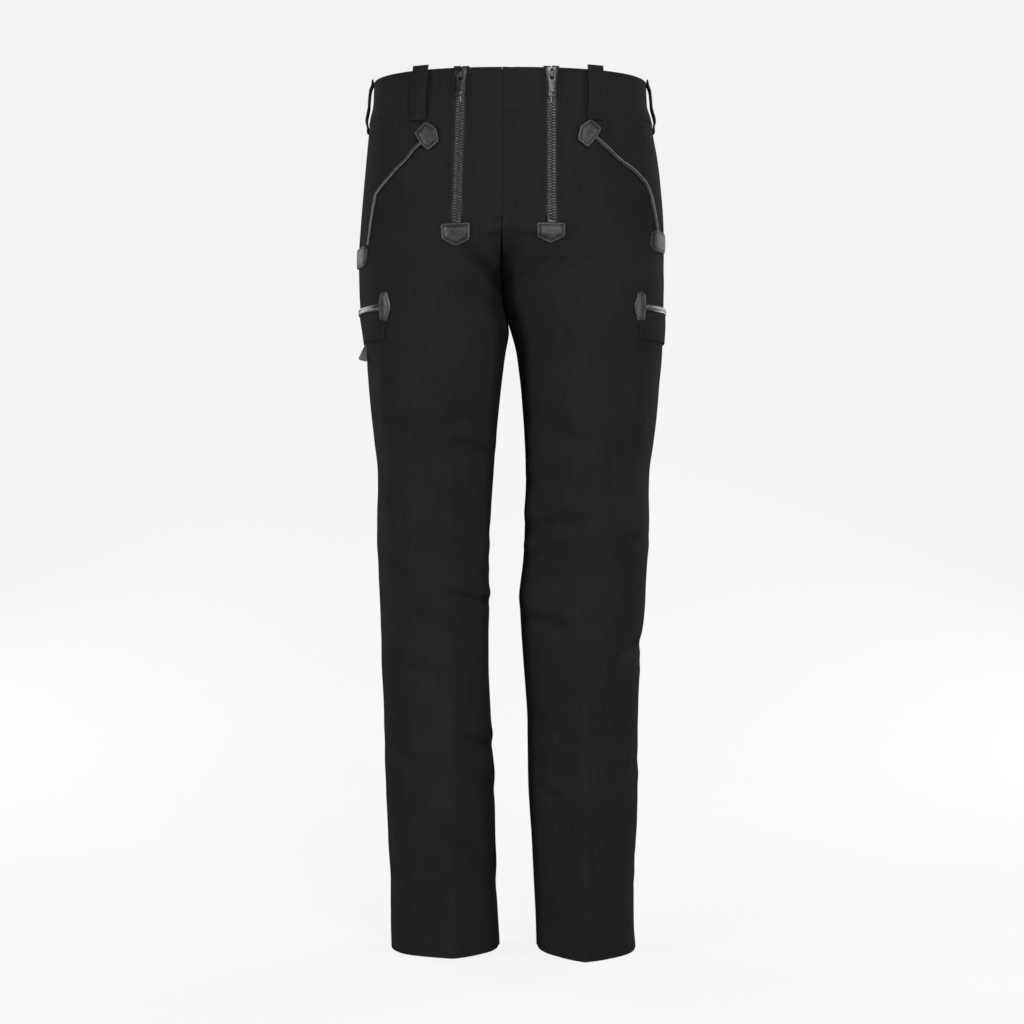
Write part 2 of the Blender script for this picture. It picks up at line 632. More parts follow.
def leather_material(name, dark, light, worn, rough, specular):
    mat = Material(name)
    vector = mat.coords()
    # grain: cells whose borders wander
    cells = mat.node("TexVoronoi", feature="DISTANCE_TO_EDGE")
    cells.inputs["Scale"].default_value = 0.85
    warp = mat.node("VectorMath", operation="MULTIPLY_ADD")
    mat.feed(warp.inputs[0], mat.noise(vector, scale=0.6, output="Color"))
    warp.inputs[1].default_value = (1.6, 1.6, 1.6)
    mat.feed(warp.inputs[2], vector)
    mat.feed(cells.inputs["Vector"], warp.outputs[0])
    grain = mat.ramp(cells.outputs["Distance"], 0.0, 0.14)
    pores = mat.noise(vector, scale=2.6, detail=3.0)
    creases = mat.noise(vector, scale=0.16, detail=4.0, rough=0.6)
    patches = mat.noise(vector, scale=0.07, detail=3.0)
    colour = mat.mix(mat.ramp(patches, 0.35, 0.7), dark, light)
    borders = mat.math("MULTIPLY", mat.math("SUBTRACT", 1.0, grain), 0.5)
    colour = mat.mix(borders, colour, dark)
    wear = mat.edge_wear(mat.noise(vector, scale=0.5, detail=3.0), 0.35, 0.62, low=0.25)
    colour = mat.mix(mat.math("MULTIPLY", wear, 0.9), colour, worn)
    roughness = mat.math("MULTIPLY_ADD", creases, 0.26, rough - 0.12)
    roughness = mat.math("ADD", roughness, mat.math("MULTIPLY", wear, 0.15))
    normal = mat.bump(grain, strength=0.35, distance=0.00014)
    normal = mat.bump(pores, strength=0.25, distance=0.00012, below=normal)
    normal = mat.bump(creases, strength=0.5, distance=0.0007, below=normal)
    return mat.finish({
        "Base Color": colour,
        "Roughness": roughness,
        "Specular IOR Level": specular,
        "Coat Weight": 0.1 * specular,
        "Coat Roughness": 0.3,
        "Normal": normal})


def metal_material(name, colour, rough):
    mat = Material(name)
    vector = mat.coords(uv=False)
    scratches = mat.noise(mat.coords((2600.0, 2600.0, 260.0), uv=False), scale=1.0, detail=3.0)
    blots = mat.noise(vector, scale=0.35, detail=3.0)
    dark = tuple(channel * 0.55 for channel in colour)
    normal = mat.bump(blots, strength=0.2, distance=0.0002)
    return mat.finish({
        "Base Color": mat.mix(mat.ramp(blots, 0.35, 0.7), dark, colour),
        "Metallic": 1.0,
        "Roughness": mat.math("MULTIPLY_ADD", scratches, 0.25, rough - 0.1),
        "Normal": mat.bump(scratches, strength=0.18, distance=0.00008, below=normal)})


def tape_material(name):
    mat = Material(name)
    vector = mat.coords()
    across, up = mat.split(vector)
    # herringbone: the twill turns over every 3.2 mm across the tape
    folded = mat.math("PINGPONG", across, 3.2)
    twill = mat.math("SINE", mat.math("ADD", mat.math("MULTIPLY", folded, 4.4),
                                      mat.math("MULTIPLY", up, 4.4)))
    fuzz = mat.noise(vector, scale=1.2)
    level = mat.math("MULTIPLY_ADD", twill, 0.5, 0.5)
    normal = mat.bump(fuzz, strength=0.4, distance=0.0002)
    return mat.finish({
        "Base Color": mat.mix(level, (0.016, 0.016, 0.0165), (0.062, 0.062, 0.063)),
        "Roughness": mat.math("MULTIPLY_ADD", fuzz, 0.2, 0.6),
        "Sheen Weight": 0.15,
        "Normal": mat.bump(twill, strength=0.6, distance=0.00025, below=normal)})


def thread_material(name, colour):
    mat = Material(name)
    fibres = mat.noise(mat.coords(uv=False), scale=3.5)
    dark, light = (tuple(channel * k for channel in colour) for k in (0.6, 1.5))
    return mat.finish({
        "Base Color": mat.mix(fibres, dark, light),
        "Roughness": mat.math("MULTIPLY_ADD", fibres, 0.2, 0.72),
        "Specular IOR Level": 0.12,
        "Normal": mat.bump(fibres, strength=0.4, distance=0.0002)})


# Each finish is (material, slot name).
CLOTH = (cloth_material(
    "moleskin_black", dark=(0.0190, 0.0190, 0.0195), light=(0.0255, 0.0255, 0.0260),
    worn=(0.044, 0.044, 0.045)), "cloth")
LINING = (cloth_material(
    "pocketing_dark", dark=(0.030, 0.030, 0.031), light=(0.042, 0.042, 0.043),
    worn=(0.07, 0.07, 0.07), twill=1.6, nap=0.5, sheen=0.1, rough=0.8), "lining")
LEATHER = (leather_material(
    "leather_black", dark=(0.012, 0.012, 0.0125), light=(0.034, 0.034, 0.035),
    worn=(0.26, 0.26, 0.26), rough=0.32, specular=0.5), "leather")
LEATHER_SIDE = (leather_material(
    "leather_black_rubbed", dark=(0.011, 0.011, 0.0115), light=(0.026, 0.026, 0.027),
    worn=(0.14, 0.14, 0.14), rough=0.5, specular=0.16), "leather")
TAPE = (tape_material("zip_tape_black"), "zip_tape")
METAL = (metal_material("dark_nickel", colour=(0.16, 0.16, 0.165), rough=0.32), "zip_metal")
TEETH = (metal_material("dark_nickel_teeth", colour=(0.24, 0.24, 0.245), rough=0.42),
         "zip_metal")
THREAD = (thread_material("thread_black", colour=(0.019, 0.019, 0.020)), "cloth")
LABEL = (cloth_material(
    "woven_tag", dark=(0.15, 0.15, 0.152), light=(0.26, 0.26, 0.262),
    worn=(0.36, 0.36, 0.36), twill=2.2, nap=0.3, sheen=0.1, rough=0.7), "label")

# ---------------------------------------------------------------- mesh tools
# uv is in millimetres; edge is 1 at a free edge and fades away from it
Part = namedtuple("Part", "verts faces uv edge", defaults=(None, None))


def filled(part):
    """Part with a flat UV map and no edges where it has none of its own."""
    verts = part.verts
    uv = np.stack([verts[:, 0] + verts[:, 1], verts[:, 2]], -1) if part.uv is None else part.uv
    return Part(verts, part.faces, uv, np.zeros(len(verts)) if part.edge is None else part.edge)


def join(parts):
    faces, base = [], 0
    parts = [filled(part) for part in parts]
    for part in parts:
        faces += [[i + base for i in face] for face in part.faces]
        base += len(part.verts)
    verts, uv, edge = (np.concatenate([getattr(part, field) for part in parts])
                       for field in ("verts", "uv", "edge"))
    return Part(verts, faces, uv, edge)


def make(name, part, finish, replaced=None, side=None, body="root", bends=False):
    """Build an object; a side adds its word to both names. bends: it folds with the flap."""
    suffix = f"_{SIDE_NAME[side]}" if side else ""
    part = filled(part)
    material, slot = finish
    mesh = bpy.data.meshes.new(name + suffix)
    mesh.from_pydata((part.verts * MM).tolist(), [], part.faces)
    mesh.validate()
    mesh.update()
    mesh.polygons.foreach_set("use_smooth", np.ones(len(mesh.polygons), bool))
    layer = mesh.uv_layers.new(name="cloth")
    corners = np.empty(len(mesh.loops), np.int32)
    mesh.loops.foreach_get("vertex_index", corners)
    layer.data.foreach_set("uv", (part.uv * MM)[corners].astype(np.float32).ravel())
    edge = mesh.attributes.new("edge", "FLOAT", "POINT")
    edge.data.foreach_set("value", part.edge.astype(np.float32))
    ob = bpy.data.objects.new(name + suffix, mesh)
    bpy.context.scene.collection.objects.link(ob)
    mesh.materials.append(material)
    if bends:
        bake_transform(ob)
    else:
        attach(ob, body)
    if replaced:
        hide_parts(replaced + suffix)


def tube_faces(rows_, ring):
    return [[k * ring + i, k * ring + (i + 1) % ring,
             (k + 1) * ring + (i + 1) % ring, (k + 1) * ring + i]
            for k in range(rows_ - 1) for i in range(ring)]


def closed_tube(rows_, ring, inward=False):
    """Faces of a capped tube; inward turns it over but keeps each quad's first corner."""
    quads = tube_faces(rows_, ring)
    first = list(range(ring))
    last = list(range((rows_ - 1) * ring, rows_ * ring))
    if inward:
        return [[a, d, c, b] for a, b, c, d in quads] + [first, last[::-1]]
    return quads + [first[::-1], last]


def flipped(faces):
    return [face[::-1] for face in faces]


def circle(count):
    return np.linspace(0, 2 * np.pi, count + 1)[:-1]


# distances of the close columns beside each edge
EDGE = np.array([0.0, 0.3, 0.8, 1.7, 3.4])


def spread(width, step=None, count=None):
    """Places across each width, close together at both edges."""
    width = np.asarray(width, float)
    count = count or max(3, int(np.ceil((width.max() - 2 * EDGE[-1]) / step)))
    close = EDGE[None, :] * np.minimum(1.0, width / 9.0)[:, None]
    middle = np.linspace(0, 1, count + 1)[None, 1:-1]
    low, high = close[:, -1:], width[:, None] - close[:, -1:]
    return np.concatenate(
        [close, low + (high - low) * middle, width[:, None] - close[:, ::-1]], axis=1)


def rows(low, high, step, extra=()):
    """Heights of the rows of a piece, with close rows round each extra height."""
    heights = [spread(np.array([high - low]), step)[0] + low]
    for z in extra:
        heights.append([z - 0.8, z - 0.3, z, z + 0.3, z + 0.8])
    return np.unique(np.round(np.concatenate(heights), 3))


def skin(side, turns, z, inner, outer, edge_gap, roll=0.9, mask=None):
    """Closed cloth layer between two offsets, rolled over where edge_gap is under roll."""
    shape = turns.shape
    near = np.clip(1 - edge_gap / roll, 0, 1)
    drop = 0.43 * (outer - inner) * (1 - np.sqrt(np.maximum(0, 1 - near * near)))
    faces_out = HALF[side].at(turns, z, outer - drop)
    faces_in = HALF[side].at(turns, z, inner + drop)
    if mask is None:
        mask = np.ones((shape[0] - 1, shape[1] - 1), bool)
    count = turns.size
    index = np.arange(count).reshape(shape)
    cells = np.stack([index[:-1, :-1], index[:-1, 1:], index[1:, 1:], index[1:, :-1]], -1)
    quads = cells[mask]
    if side < 0:
        quads = quads[:, ::-1]
    faces = [quads, quads[:, ::-1] + count]
    # a wall wherever a cell has no neighbour
    padded = np.pad(mask, 1)
    for up, on, a, b in ((-1, 0, 0, 1), (1, 0, 2, 3), (0, 1, 1, 2), (0, -1, 3, 0)):
        beside = padded[1 + up:padded.shape[0] - 1 + up, 1 + on:padded.shape[1] - 1 + on]
        rim = cells[mask & ~beside]
        if len(rim):
            wall = np.stack([rim[:, b], rim[:, a], rim[:, a] + count, rim[:, b] + count], -1)
            faces.append(wall if side > 0 else wall[:, ::-1])
    faces = np.concatenate(faces)
    verts = np.concatenate([faces_out.reshape(-1, 3), faces_in.reshape(-1, 3)])
    # the left half's map lies 400 mm along from the right's
    arc = HALF[side].arc(turns, z).ravel() + (400 if side > 0 else 0)
    uv = np.tile(np.stack([arc, z.ravel()], -1), (2, 1))
    edge = np.exp(-edge_gap.ravel() / 1.1)
    edge = np.concatenate([edge, edge * 0.4])
    used = np.unique(faces)
    renumber = -np.ones(len(verts), int)
    renumber[used] = np.arange(len(used))
    return Part(verts[used], renumber[faces].tolist(), uv[used], edge[used])


def sheet(side, heights, start, end, inner, outer, step=4.0, roll=0.9, inset=0.0,
          offset=None, rolled_start=True):
    """A cloth piece between two turns; offset(z, across, width) moves it outwards."""
    half = HALF[side]
    first, last = half.arc(start, heights) + inset, half.arc(end, heights) - inset
    width = np.maximum(last - first, 0.5)
    across = spread(width, step)
    turns, z = half.grid(heights, first, across)
    width = width[:, None]
    gaps = [width - across, z - heights[0], heights[-1] - z]
    if rolled_start:
        gaps.append(across)
    edge_gap = np.maximum(np.minimum.reduce(gaps), 0)
    if offset is not None:
        shift = offset(z, across, width)
        inner, outer = inner + shift, outer + shift
    return skin(side, turns, z, inner, outer, edge_gap, roll)


# ---------------------------------------------------------------- stitches
STITCHES = {"root": [], "flap": []}         # gathered by the body they ride on
STITCH_RING = 6
# (place along the stitch, share of the radius, lift in radii): a little arched loop
STITCH_SECTIONS = [(-0.5, 0.35, -0.7), (-0.36, 0.85, -0.05), (0.0, 1.0, 0.35),
                   (0.36, 0.85, -0.05), (0.5, 0.35, -0.7)]


def stitch(group, points, normals, pitch=2.8, length=2.0, radius=0.22):
    """A row of stitches centred on a path."""
    lengths = run_length(points)
    total = lengths[-1]
    count = int((total - length) / pitch)
    if count < 1:
        return
    places = length / 2 + (total - length - count * pitch) / 2 + pitch * np.arange(count + 1)
    tangent = unit(along_path(points, lengths, np.minimum(places + 0.6, total))
                   - along_path(points, lengths, np.maximum(places - 0.6, 0)))
    normal = along_path(normals, lengths, places)
    normal = unit(normal - (normal * tangent).sum(1, keepdims=True) * tangent)
    size = np.ones(len(places))
    STITCHES[group].append((along_path(points, lengths, places), tangent, normal,
                            length * size, radius * size))


def stitch_on(side, turn, z, out=0.10, group="root", **size):
    stitch(group, HALF[side].at(turn, z, out), HALF[side].normal(turn, z), **size)


def stitch_part(group):
    centre, tangent, normal, length, radius = (
        np.concatenate(column) for column in zip(*STITCHES[group]))
    across = np.cross(tangent, normal)
    verts = []
    for along, share, lift in STITCH_SECTIONS:
        for angle in circle(STITCH_RING):
            verts.append(centre + tangent * (along * length)[:, None]
                         + across * (np.cos(angle) * share * radius)[:, None]
                         + normal * ((np.sin(angle) * share + lift) * radius)[:, None])
    verts = np.stack(verts, 1)
    start = (np.arange(len(centre)) * verts.shape[1])[:, None, None]
    *quads, first, last = closed_tube(len(STITCH_SECTIONS), STITCH_RING)
    faces = []
    for group_faces in (quads, [first], [last]):
        moved = np.array(group_faces)[None] + start
        faces += moved.reshape(-1, moved.shape[-1]).tolist()
    return Part(verts.reshape(-1, 3), faces)


# ---------------------------------------------------------------- tabs and bindings
def rounded(points, cut, gap):
    """Closed outline with softened corners, evenly spaced."""
    points = np.array(points, float)
    outline = []
    for k in range(len(points)):
        corner = points[k]
        ends = []
        for neighbour in (points[k - 1], points[(k + 1) % len(points)]):
            reach = np.linalg.norm(neighbour - corner)
            ends.append(corner + (neighbour - corner) / reach * min(cut, reach * 0.45))
        for t in np.linspace(0, 1, 7):
            outline.append((1 - t) ** 2 * ends[0] + 2 * t * (1 - t) * corner + t * t * ends[1])
    closed = np.array(outline + outline[:1])
    lengths = run_length(closed)
    count = max(12, int(round(lengths[-1] / gap)))
    return along_path(closed, lengths, np.linspace(0, lengths[-1], count + 1)[:-1])


def tab(place, points, low, high, grooves, cut=2.4, gap=1.3, puff=0.5, bevel=0.45,
        stitch_out=None):
    """A padded tab between two offsets; place(points, out) lays its outline on the cloth."""
    ring = rounded(points, cut, gap)
    x, y = ring[:, 0], ring[:, 1]
    if np.sum(x * np.roll(y, -1) - np.roll(x, -1) * y) < 0:
        ring = ring[::-1]
    centre = ring.mean(0)
    tangent = np.roll(ring, -1, 0) - np.roll(ring, 1, 0)
    outward = unit(np.stack([tangent[:, 1], -tangent[:, 0]], -1))
    reach = np.maximum(((ring - centre) * outward).sum(1), 2.0)
    for _ in range(3):
        reach = (np.roll(reach, 1) + 2 * reach + np.roll(reach, -1)) / 4

    def inset(distance):
        return centre + (ring - centre) * np.maximum(0.02, 1 - distance / reach)[:, None]

    # cross-section: (distance in from the outline, offset)
    section = [(0.4, low), (0.0, low + 0.2), (0.0, high - bevel),
               (bevel * 0.3, high - bevel * 0.3), (bevel, high), (bevel + 0.5, high + 0.03)]
    for groove in grooves:
        section += [(groove - 0.4, high + 0.05), (groove - 0.18, high - 0.14),
                    (groove, high - 0.24), (groove + 0.18, high - 0.14),
                    (groove + 0.45, high + 0.06)]
    last = section[-1][0]
    rest = float(reach.min()) - last
    for share in (0.25, 0.5, 0.75, 0.92):
        section.append((last + rest * share,
                        high + 0.06 + puff * math.sin(share * math.pi / 2)))
    verts, uv, edge = [], [], []
    for distance, out in section:
        outline = inset(distance)
        verts.append(place(outline, out))
        uv.append(outline)
        worn = math.exp(-max(distance - 0.1, 0) / 0.8) + (0.25 if out > high + 0.2 else 0)
        edge.append(np.full(len(ring), worn))
    middle = centre[None]
    verts = np.concatenate(verts + [place(middle, high + 0.06 + puff), place(middle, low)])
    count = len(ring)
    faces = tube_faces(len(section), count)
    base = (len(section) - 1) * count
    faces += [[base + i, base + (i + 1) % count, len(verts) - 2] for i in range(count)]
    faces += [[(i + 1) % count, i, len(verts) - 1] for i in range(count)]
    wall = np.cross(verts[count + 1] - verts[count], verts[2 * count] - verts[count])
    if np.dot(wall, verts[count] - verts[:count].mean(0)) < 0:
        faces = flipped(faces)
    if stitch_out is not None:
        for groove in grooves:
            path = inset(groove)
            path = np.vstack([path, path[:1]])
            points_on = place(path, stitch_out)
            stitch("root", points_on, place(path, stitch_out + 1.0) - points_on,
                   pitch=2.6, length=1.8)
    return Part(verts, faces, np.concatenate(uv + [middle, middle]),
                np.concatenate(edge + [[0.0], [0.0]]))


def facing_place(side, back=False):
    """Places tab outlines by x and z, seen from the front or the back."""
    half = HALF[side]

    def place(points, out):
        return half.at(half.turn_at(points[:, 0], points[:, 1], back), points[:, 1], out)
    return place


def side_place(side):
    """Places tab outlines by distance round from the side seam, and z."""
    half = HALF[side]

    def place(points, out):
        z = points[:, 1]
        return half.at(half.step(side_turn(side, z), z, points[:, 0]), z, out)
    return place


def graded(outline, sign=1):
    return [[sign * x, z * GRADE] for x, z in outline]


def path_frame(side, turns, z, out=0.0):
    """Points, normals and sideways directions along a path on the cloth."""
    points, normals = HALF[side].at(turns, z, out), HALF[side].normal(turns, z)
    return points, normals, np.cross(unit(np.gradient(points, axis=0)), normals)


def strip(side, turns, z, section):
    """Sweep of a cross-section of (across, out) points along a path on the cloth."""
    points, normals, across = path_frame(side, turns, z)
    across = unit(across)
    section = np.array(section, float)
    verts = (points[:, None] + across[:, None] * section[None, :, :1]
             + normals[:, None] * section[None, :, 1:])
    verts = verts.reshape(-1, 3)
    count, ring = len(points), len(section)
    faces = closed_tube(count, ring, inward=True)
    uv = np.stack([np.tile(run_length(section), count), np.repeat(run_length(points), ring)], -1)
    height = np.tile(section[:, 1], count)
    edge = np.clip((height - np.percentile(section[:, 1], 80)) / 0.4 + 0.4, 0, 1)
    wall = np.cross(verts[ring] - verts[0], verts[1] - verts[0])
    if np.dot(wall, verts[0] - verts[:ring].mean(0)) < 0:
        faces = flipped(faces)
    return Part(verts, faces, uv, edge)


# ---------------------------------------------------------------- panels
def slot_half_width(z):
    """Half the gap over a zip: nothing at the slit's foot, widest just above it."""
    return ((SLOT + 0.9 * (1 - smoothstep(z, 878 * GRADE, 892 * GRADE)))
            * smoothstep(z, SLIT_Z, SLIT_Z + 9))


def slit_foot(z):
    """Extra edge distance that keeps the foot of the slit unrolled."""
    return 6 * (1 - smoothstep(z, SLIT_Z, SLIT_Z + 7))


def centre_columns(width):
    """Columns between the centre front and a zip, the same number in every row."""
    across = spread(np.maximum(width, 8), count=15)
    return across * (width / across[:, -1])[:, None]


def front_panel(side):
    """Leg front; above the slit only the part outside the zip."""
    half = HALF[side]
    foot = mouth_foot(side)
    heights = rows(0.0, BAND_Z - BAND_GAP, 4.0, extra=(SLIT_Z, foot))
    slit_row = int(np.argmin(np.abs(heights - SLIT_Z)))
    at_mouth = smoothstep(heights, foot - 9, foot + 1)
    outer = side_turn(side, heights) * (1 - at_mouth) + mouth_turn(side, heights) * at_mouth
    start = half.arc(0.0, heights) + SEAM_GAP
    slit = half.arc(zip_turn(side, heights, slot_half_width(heights)), heights)
    end = half.arc(outer, heights) - SEAM_GAP
    inside, outside = centre_columns(slit - start), spread(end - slit, 4.0)
    across = np.concatenate([inside[:, :-1], inside[:, -1:] + outside], axis=1)
    slit_column = inside.shape[1] - 1
    turns, z = half.grid(heights, start, across)
    edge_gap = np.minimum(across, z)
    edge_gap[:, slit_column:] = np.minimum(edge_gap[:, slit_column:],
                                           (end - slit)[:, None] - outside)
    from_slit = np.abs(across - across[:, slit_column:slit_column + 1]) + slit_foot(z)
    edge_gap = np.where(z > SLIT_Z + 0.01, np.minimum(edge_gap, from_slit), edge_gap)
    edge_gap = np.maximum(np.minimum(edge_gap, heights[-1] - z + 0.75), 0)
    mask = np.ones((turns.shape[0] - 1, turns.shape[1] - 1), bool)
    mask[slit_row:, :slit_column] = False
    part = skin(side, turns, z, -CLOTH_THICK, 0.0, edge_gap, roll=1.1, mask=mask)
    make("v_front", part, CLOTH, "front_panel", side)


def back_panel(side):
    heights = rows(0.0, BAND_Z - BAND_GAP, 4.0)
    part = sheet(side, heights, side_turn(side, heights), 1.0, -CLOTH_THICK, 0.0,
                 step=4.4, roll=1.1, inset=SEAM_GAP)
    make("v_back", part, CLOTH, "back_panel", side)


def flap_panel(side):
    """Front between the centre seam and the zip, above the slit's foot."""
    half = HALF[side]
    heights = rows(SLIT_Z, BAND_Z - BAND_GAP, 3.6, extra=(FOLD_Z,))
    bend = np.linspace(850, 876, 14) * GRADE
    heights = np.unique(np.concatenate([heights, bend]))
    start = half.arc(0.0, heights) + SEAM_GAP
    end = half.arc(zip_turn(side, heights, -slot_half_width(heights)), heights)
    across = centre_columns(end - start)
    turns, z = half.grid(heights, start, across)
    edge_gap = np.minimum(across, (end - start)[:, None] - across + slit_foot(z))
    edge_gap = np.maximum(np.minimum(edge_gap, heights[-1] - z + 0.75), 0)
    part = skin(side, turns, z, -CLOTH_THICK, 0.0, edge_gap, roll=1.1)
    make("v_flap", part, CLOTH, "flap_panel", side, bends=True)


def hem(side):
    """Turned-up cloth inside the leg opening."""
    part = sheet(side, rows(0.0, 28.0, 3.5), 0.002, 0.998, -5.1, -3.6, step=5.0, roll=0.8)
    make("v_hem", part, CLOTH, "hem", side)


# ---------------------------------------------------------------- waistband
def band_puff(z, across, width):
    up = np.clip((z - BAND_Z) / (TOP_Z - BAND_Z), 0, 1)
    return (0.30 * np.sin(np.pi * up) ** 0.6 - 0.25
            + 0.12 * np.sin(across / 9.0) * np.sin(np.pi * up))


def waistband(side):
    heights = rows(BAND_Z, TOP_Z, 3.4)
    part = sheet(side, heights, zip_turn(side, heights, SLOT), 1.0, -CLOTH_THICK, 0.4,
                 step=4.4, roll=1.2, offset=band_puff, inset=0.1)
    make("v_waistband", part, CLOTH, "waistband", side)
    heights = rows(BAND_Z - 1.6, TOP_Z - 2, 4.0)
    start = HALF[side].step(zip_turn(side, heights), heights, 19.0)
    part = sheet(side, heights, start, 1.0, -4.2, -2.3, step=5.0, inset=0.4)
    make("v_waist_facing", part, LINING, "waistband_facing", side)


def flap_band():
    """Waistband of the flap, and the facing behind the whole flap."""
    facings = []
    for side in SIDES:
        heights = rows(BAND_Z, TOP_Z, 3.4)
        part = sheet(side, heights, 0.0, zip_turn(side, heights, -SLOT), -CLOTH_THICK, 0.4,
                     roll=1.2, offset=band_puff, inset=0.1)
        make("v_flap_band", part, CLOTH, "flap_waistband", side, body="front_flap")
        heights = rows(FOLD_Z + 3, TOP_Z - 2, 4.0)
        facings.append(sheet(side, heights, 0.0, zip_turn(side, heights, -9), -4.3, -2.9,
                             step=4.5, roll=0.7, rolled_start=False))
    make("v_flap_facing", join(facings), LINING, "flap_facing", bends=True)


LOOP_HALF = 10.0                            # half the width of a belt loop
LOOP_THICK = 2.2
LOOP_SEAM = 7.4                             # stitch rows each side of the loop's middle


def loop_middle(side, turn, z, middle_z):
    """Turn of a loop's middle; loops seen from the front or back stand up straight in x."""
    z = np.atleast_1d(np.asarray(z, float))
    if 0.45 < turn < 0.55 or turn > 0.9:
        return np.full(len(z), float(turn))
    half = HALF[side]
    x = float(np.interp(turn, TURNS, half.row(half.base[..., 0], middle_z)))
    lean = 0.05 if side < 0 else 0.0
    return half.turn_at(x + lean * (z - middle_z), z, turn > 0.5)


def belt_loop(side, turn, low, high, phase):
    half = HALF[side]
    heights = rows(low, high, 2.2)
    middle = (low + high) / 2
    across = spread(np.full(len(heights), 2 * LOOP_HALF), 1.6)
    wobble = 0.22 * np.sin((heights - low) / 14.0 + phase)
    start = half.arc(loop_middle(side, turn, heights, middle), heights) - LOOP_HALF + wobble
    turns, z = half.grid(heights, start, across)
    # height and offset of the loop's inner face, sewn down at both ends
    knots = np.array([[low - 1, 0.7], [low + 6, 0.75], [low + 12.5, 3.7], [middle - 6, 4.7],
                      [middle + 6, 4.8], [high - 13, 4.0], [high - 6, 1.5], [high + 1, 0.6]])
    bow_z = np.linspace(low, high, 200)
    bow = smooth(np.interp(bow_z, knots[:, 0], knots[:, 1]), np.hanning(25), mode="edge")
    inner = np.interp(z, bow_z, bow)
    place = (across - LOOP_HALF) / LOOP_HALF
    crown = 0.25 * (1 - place ** 2) - 0.22 * bell(np.abs(place) - 0.72, 0.07)
    dents = 0.35 * bell(z - (low + 7.5), 1.0) + 0.35 * bell(z - (high - 8.0), 1.0)
    edge_gap = np.minimum.reduce([across, 2 * LOOP_HALF - across, z - low, high - z])
    part = skin(side, turns, z, inner, inner + LOOP_THICK + crown - dents,
                np.maximum(edge_gap, 0), roll=1.0)

    def sew(z, away, lift, **size):
        path = half.step(loop_middle(side, turn, z, middle), z, away)
        stitch_on(side, path, z, np.interp(z, bow_z, bow) + lift, **size)

    for away in (-LOOP_SEAM, LOOP_SEAM):
        sew(np.linspace(low + 2, high - 2, 60), away, LOOP_THICK,
            pitch=2.7, length=1.9, radius=0.24)
    for z in (low + 2.6, low + 6.6, high - 3.0, high - 7.4):
        sew(z, np.linspace(-LOOP_SEAM, LOOP_SEAM, 20), LOOP_THICK + 0.05,
            pitch=2.2, length=1.7, radius=0.26)
    return part


def belt_loops():
    low, high = 985 * GRADE, TOP_Z + 5

    def loop_at(side, x, phase, back=False):
        turn = HALF[side].turn_at(x, 1015 * GRADE, back)
        return belt_loop(side, turn, low, high, phase)

    groups = {
        "front": lambda: [loop_at(RIGHT, -108.2, 0.4), loop_at(LEFT, 97.3, 2.0)],
        "side": lambda: [belt_loop(RIGHT, 0.5, low + 1, high, 1.0),
                         belt_loop(LEFT, 0.5, low + 1, high, 3.0)],
        "back": lambda: [loop_at(RIGHT, -92, 0.7, back=True), loop_at(LEFT, 88, 1.9, back=True),
                         belt_loop(LEFT, 0.955, low + 1, high, 2.6)]}
    for name, build in groups.items():
        make(f"v_belt_loops_{name}", join(build()), CLOTH, f"belt_loops_{name}")


# ---------------------------------------------------------------- pockets
# Cross-sections of the leather edges: (across, out)
PIPING_SECTION = [
    (-2.75, 0.1), (-2.8, 1.3), (-2.45, 2.35), (-1.85, 2.95), (-1.25, 3.05), (-0.65, 2.65),
    (-0.2, 2.0), (0.05, 1.75), (0.3, 1.95), (0.75, 2.35), (1.35, 2.5), (1.95, 2.3),
    (2.5, 1.7), (2.8, 0.9), (2.75, 0.1)]
RULE_SECTION = [
    (-3.9, 0.1), (-4.0, 1.6), (-3.6, 2.7), (-2.8, 3.2), (-1.2, 3.3), (0.2, 3.15), (1.0, 2.7),
    (1.6, 2.75), (2.8, 3.0), (3.6, 2.5), (4.0, 1.5), (3.9, 0.1)]
SEAT_SECTION = [
    (-3.5, 0.1), (-3.6, 1.5), (-3.2, 2.5), (-2.3, 3.0), (-0.9, 3.05), (0.1, 2.8), (0.6, 2.45),
    (1.2, 2.5), (2.4, 2.8), (3.2, 2.3), (3.6, 1.4), (3.5, 0.1)]


def slack(base, rise, wave_up, wave_across):
    """Offset of a loosely hanging pocket bag."""
    def offset(z, across, width):
        return (base + rise * np.sin(z / wave_up + across / wave_across)
                * swell(across, width))
    return offset


def hip_facing(side):
    """Cloth behind the open mouth of the hip pocket."""
    foot = mouth_foot(side) + 0.9
    heights = rows(foot, BAND_Z - BAND_GAP, 4.0)

    def offset(z, across, width):
        outer = (1.9 * smoothstep(across / width, 0.25, 1.0)
                 * (0.55 + 0.45 * smoothstep(z, foot, foot + 30)))
        top = 2.15 * smoothstep(z, BAND_Z - 34, BAND_Z - 5) * smoothstep(across, 20, 30)
        return np.maximum(outer, top)

    start = HALF[side].step(mouth_turn(side, heights), heights, -18.0)
    part = sheet(side, heights, start, side_turn(side, heights), -3.6, -2.2,
                 roll=0.7, offset=offset, inset=0.3)
    make("v_pocket_facing", part, CLOTH, "pocket_facing", side)


def hip_bag(side):
    low, high = BAND_Z - 196 * GRADE, BAND_Z - 6 * GRADE
    heights = rows(low, high, 6.0)
    narrow = (1 - (heights - low) / (high - low)) ** 3
    start = HALF[side].turn_at(side * (76 + 10 * narrow), heights)
    end = side_turn(side, heights) - 0.006 - 0.02 * narrow
    part = sheet(side, heights, start, end, -8.6, -5.6, step=6.0, roll=1.5,
                 offset=slack(-0.5, 0.7, 17.0, 23.0), inset=0.3)
    make("v_pocket_bag", part, LINING, "pocket_bag", side)


